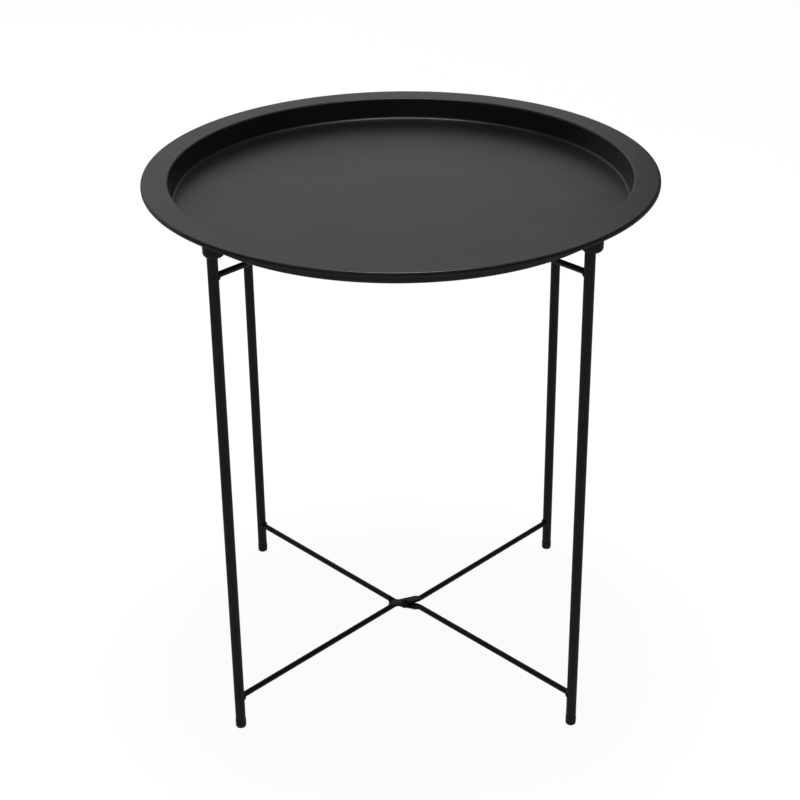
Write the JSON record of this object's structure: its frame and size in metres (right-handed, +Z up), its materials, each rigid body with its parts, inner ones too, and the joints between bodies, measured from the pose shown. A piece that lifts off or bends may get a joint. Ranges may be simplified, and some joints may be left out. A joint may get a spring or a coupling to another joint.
{
  "type": "folding tray table",
  "caption": "Round side table: a lift-off steel tray with a turned-down rim on two crossing tube frames that fold flat about a central upright axis.",
  "frame": {"origin": "on the floor under the tray's centre, on the axis that the frames turn about", "axes": "+Z up, +X to the right of someone at the table's front, the front faces -Y"},
  "size_m": [0.47, 0.47, 0.504],
  "materials": {
    "tray_coat": "satin black powder coat, very fine texture",
    "frame_coat": "semi-matt black powder coat",
    "rivet_coat": "semi-matt black coat over a steel rivet",
    "black_plastic": "moulded black plastic, matt"
  },
  "bodies": {
    "frame_a": {"leg_front_left": "frame_coat", "leg_back_right": "frame_coat", "foot_front_left": "black_plastic", "foot_back_right": "black_plastic", "cap_front_left": "black_plastic", "cap_back_right": "black_plastic", "bottom_rod_a": "frame_coat", "top_rod_a": "frame_coat", "welds_a": "frame_coat", "bottom_rivet": "rivet_coat", "top_rivet": "rivet_coat", "bottom_washer": "rivet_coat", "top_washer": "rivet_coat"},
    "frame_b": {"leg_front_right": "frame_coat", "leg_back_left": "frame_coat", "foot_front_right": "black_plastic", "foot_back_left": "black_plastic", "cap_front_right": "black_plastic", "cap_back_left": "black_plastic", "bottom_rod_b": "frame_coat", "top_rod_b": "frame_coat", "welds_b": "frame_coat"},
    "tray": {"tray": "tray_coat"}
  },
  "joints": [
    {"name": "fold", "type": "hinge", "parent": "frame_a", "child": "frame_b", "pos_m": [0, 0, 0.034], "axis": [0, 0, -1], "range_deg": [0, 85]},
    {"name": "tray_lift", "type": "slide", "parent": "frame_a", "child": "tray", "axis": [0, 0, 1], "range_m": [0, 0.06]}
  ]
}
